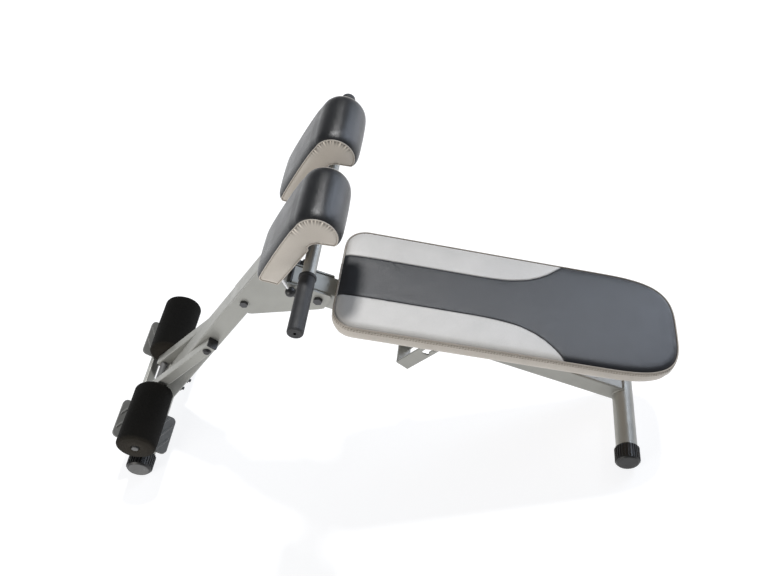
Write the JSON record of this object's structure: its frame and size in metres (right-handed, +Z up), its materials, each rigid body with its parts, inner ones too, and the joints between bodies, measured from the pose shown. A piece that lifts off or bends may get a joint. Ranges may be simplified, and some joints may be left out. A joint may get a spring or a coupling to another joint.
{
  "type": "decline sit up bench",
  "caption": "Folding decline sit up bench with split thigh pads, foam rollers, foot plates and a tilting padded board on a steel A-frame.",
  "frame": {"origin": "floor level, under the centre of the overall box, with the frame unfolded for use", "axes": "+X from the foot plates and rollers to the head end of the padded board, +Y across the bench towards the side away from the clamp lever, +Z up"},
  "size_m": [1.3163, 0.67, 0.8156],
  "materials": {
    "frame_paint": "satin",
    "cap_rubber": "matte",
    "grip_rubber": "matte",
    "foam": "matte",
    "plate_plastic": "matte",
    "black_plastic": "satin",
    "dark_steel": "satin",
    "bright_steel": "brushed",
    "plywood": "matte",
    "black_vinyl": "satin",
    "grey_vinyl": "satin"
  },
  "bodies": {
    "base_frame": {"front_stabilizer": "frame_paint", "front_cap_near": "cap_rubber", "front_cap_far": "cap_rubber", "post": "frame_paint", "post_bush": "black_plastic", "gusset_near": "frame_paint", "gusset_far": "frame_paint", "gusset_bolts": "dark_steel", "fold_pivot_bolt": "dark_steel", "arm_pivot_bolt": "dark_steel", "footrest_bracket": "frame_paint", "footrest_bolts": "dark_steel", "foot_plate_near": "plate_plastic", "foot_plate_far": "plate_plastic", "foot_plate_screws": "dark_steel"},
    "roller_carriage": {"arm_near": "frame_paint", "arm_far": "frame_paint", "arm_plugs": "black_plastic", "roller_axle": "bright_steel"},
    "near_roller": {"roller_near": "foam"},
    "far_roller": {"roller_far": "foam"},
    "thigh_support": {"inner_tube": "frame_paint", "inner_tube_plug": "black_plastic", "handle_bar": "frame_paint", "grip_near": "grip_rubber", "grip_far": "grip_rubber", "pad_rails": "frame_paint", "thigh_board_near": "plywood", "thigh_board_far": "plywood", "thigh_pad_near": "black_vinyl", "thigh_pad_far": "black_vinyl"},
    "clamp": {"clamp_lever": "bright_steel", "lever_ball": "black_plastic"},
    "bench_frame": {"long_tube": "frame_paint", "long_tube_plug": "black_plastic", "rear_stabilizer": "frame_paint", "rear_cap_near": "cap_rubber", "rear_cap_far": "cap_rubber", "backrest_pivot_bolt": "dark_steel", "prop_pin": "bright_steel"},
    "knob": {"fold_knob": "black_plastic"},
    "backrest": {"bench_board": "plywood", "bench_pad": "grey_vinyl", "hinge_brackets": "dark_steel", "prop_channel": "dark_steel", "prop_top_pin": "bright_steel"},
    "prop": {"prop_bracket": "frame_paint"}
  },
  "joints": [
    {"name": "fold", "type": "hinge", "parent": "base_frame", "child": "bench_frame", "pos_m": [-0.13727, 0, 0.41822], "axis": [0, 1, 0], "range_deg": [0, 90]},
    {"name": "backrest_tilt", "type": "hinge", "parent": "bench_frame", "child": "backrest", "pos_m": [-0.09003, 0, 0.39105], "axis": [0, -1, 0], "range_deg": [0, 15]},
    {"name": "prop_swing", "type": "hinge", "parent": "backrest", "child": "prop", "pos_m": [0.19984, 0, 0.32554], "axis": [0, -1, 0], "range_deg": [0, 6.3]},
    {"name": "thigh_slide", "type": "slide", "parent": "base_frame", "child": "thigh_support", "axis": [0.6361, 0, 0.7716], "range_m": [-0.04, 0.06]},
    {"name": "clamp_turn", "type": "hinge", "parent": "base_frame", "child": "clamp", "pos_m": [-0.20729, -0.03, 0.52583], "axis": [0, 1, 0], "range_deg": [-35, 35]},
    {"name": "carriage_swing", "type": "hinge", "parent": "base_frame", "child": "roller_carriage", "pos_m": [-0.41815, 0, 0.27004], "axis": [0, 1, 0], "range_deg": [0, 35]},
    {"name": "near_roller_spin", "type": "hinge", "parent": "roller_carriage", "child": "near_roller", "pos_m": [-0.58467, -0.132, 0.12323], "axis": [0, 1, 0], "continuous": true},
    {"name": "far_roller_spin", "type": "hinge", "parent": "roller_carriage", "child": "far_roller", "pos_m": [-0.58467, 0.132, 0.12323], "axis": [0, 1, 0], "continuous": true},
    {"name": "knob_spin", "type": "hinge", "parent": "bench_frame", "child": "knob", "pos_m": [-0.17888, 0.04, 0.44215], "axis": [0, 1, 0], "continuous": true}
  ],
  "couplings": [
    {"joint": "prop_swing", "follows": "backrest_tilt", "ratio": 0.42}
  ]
}
